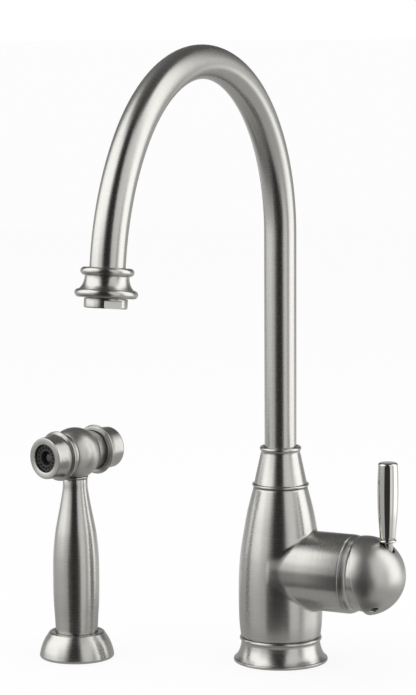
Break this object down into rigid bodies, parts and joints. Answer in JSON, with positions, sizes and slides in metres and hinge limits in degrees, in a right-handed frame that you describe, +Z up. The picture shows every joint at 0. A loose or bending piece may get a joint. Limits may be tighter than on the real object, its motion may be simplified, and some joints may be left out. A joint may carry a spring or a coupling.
{
  "type": "kitchen faucet with side spray",
  "caption": "Single-lever gooseneck kitchen faucet with a swivelling spout, a side valve with a ball hub, and a pull-out hand spray standing in its own deck holder.",
  "frame": {"origin": "centre of the faucet's foot on the countertop, on the axis of body and riser", "axes": "+Z up, -Y from the riser towards the spout's outlet, +X from the body towards the valve and its lever"},
  "size_m": [0.2531, 0.3022, 0.4923],
  "materials": {
    "brushed_nickel": "satin brushed nickel plate",
    "polished_nickel": "polished nickel plate",
    "turned_brass": "bare turned brass",
    "steel": "bare stainless steel",
    "black_rubber": "matte black rubber",
    "grey_plastic": "grey moulded plastic",
    "white_plastic": "white moulded plastic",
    "ceramic": "ground ceramic"
  },
  "bodies": {
    "faucet_body": {"base_ring": "brushed_nickel", "base_gasket": "black_rubber", "mounting_shank": "turned_brass", "deck_washer": "black_rubber", "clamp_washer": "steel", "mounting_nut": "turned_brass", "body_casting": "brushed_nickel", "hot_inlet": "turned_brass", "cold_inlet": "turned_brass", "spray_outlet": "turned_brass", "diverter_body": "white_plastic", "diverter_spring": "steel", "lower_bushing": "white_plastic", "upper_bushing": "white_plastic", "spout_collar": "brushed_nickel", "cartridge_seal": "black_rubber", "cartridge_base": "grey_plastic", "fixed_disc": "ceramic", "cartridge_housing": "white_plastic", "cartridge_nut": "turned_brass", "valve_trim_ring": "brushed_nickel", "spray_holder": "brushed_nickel", "holder_gasket": "black_rubber", "holder_shank": "turned_brass", "holder_liner": "white_plastic", "holder_washer": "black_rubber", "holder_nut": "turned_brass"},
    "spout": {"spout_tube": "brushed_nickel", "spout_hub": "turned_brass", "lower_spout_oring": "black_rubber", "upper_spout_oring": "black_rubber", "spout_end_bell": "brushed_nickel", "aerator_shell": "brushed_nickel", "aerator_insert": "white_plastic", "aerator_washer": "black_rubber"},
    "diverter": {"diverter_piston": "grey_plastic"},
    "valve_rotor": {"cartridge_rotor": "grey_plastic", "stem_pin": "steel"},
    "valve_disc": {"moving_disc": "ceramic", "disc_carrier": "grey_plastic"},
    "lever": {"cartridge_stem": "steel", "handle_ball": "brushed_nickel", "hub_screw": "steel", "lever_neck": "polished_nickel", "lever_grip": "polished_nickel"},
    "hose_end": {"hose_coupling": "turned_brass", "coupling_washer": "black_rubber"},
    "hand_spray": {"spray_handle": "brushed_nickel", "handle_collar": "brushed_nickel", "spray_head": "brushed_nickel", "nozzle_bezel": "brushed_nickel", "spray_face": "black_rubber", "nozzle_plunger": "grey_plastic", "valve_seat": "turned_brass", "valve_spring": "steel"},
    "thumb_button": {"spray_button": "brushed_nickel", "valve_stem": "steel"}
  },
  "joints": [
    {"name": "spout_swivel", "type": "hinge", "parent": "faucet_body", "child": "spout", "pos_m": [0, 0, 0.1], "axis": [0, 0, 1], "continuous": true},
    {"name": "diverter_slide", "type": "slide", "parent": "faucet_body", "child": "diverter", "axis": [0, 0, 1], "range_m": [0, 0.003], "stiffness_N_per_m": 100, "springref_m": -0.002, "deforming": ["diverter_spring"]},
    {"name": "lever_turn", "type": "hinge", "parent": "faucet_body", "child": "valve_rotor", "pos_m": [0.0649, 0, 0.0662], "axis": [1, 0, 0], "range_deg": [-45, 45]},
    {"name": "lever_tilt", "type": "hinge", "parent": "valve_rotor", "child": "lever", "pos_m": [0.0649, 0, 0.0662], "axis": [0, 1, 0], "range_deg": [0, 22]},
    {"name": "disc_slide", "type": "slide", "parent": "valve_rotor", "child": "valve_disc", "axis": [0, 0, 1], "range_m": [0, 0.0066]},
    {"name": "spray_lift", "type": "slide", "parent": "faucet_body", "child": "hose_end", "axis": [0, 0, 1], "range_m": [0, 0.12]},
    {"name": "spray_turn", "type": "hinge", "parent": "hose_end", "child": "hand_spray", "pos_m": [-0.1345, -0.052, 0.05], "axis": [0, 0, 1], "continuous": true},
    {"name": "button_press", "type": "slide", "parent": "hand_spray", "child": "thumb_button", "axis": [-0.2588, -0.9659, 0], "range_m": [0, 0.004], "stiffness_N_per_m": 400, "springref_m": -0.005, "deforming": ["valve_spring"]}
  ],
  "couplings": [
    {"joint": "disc_slide", "follows": "lever_tilt", "m_per_rad": 0.0169}
  ]
}
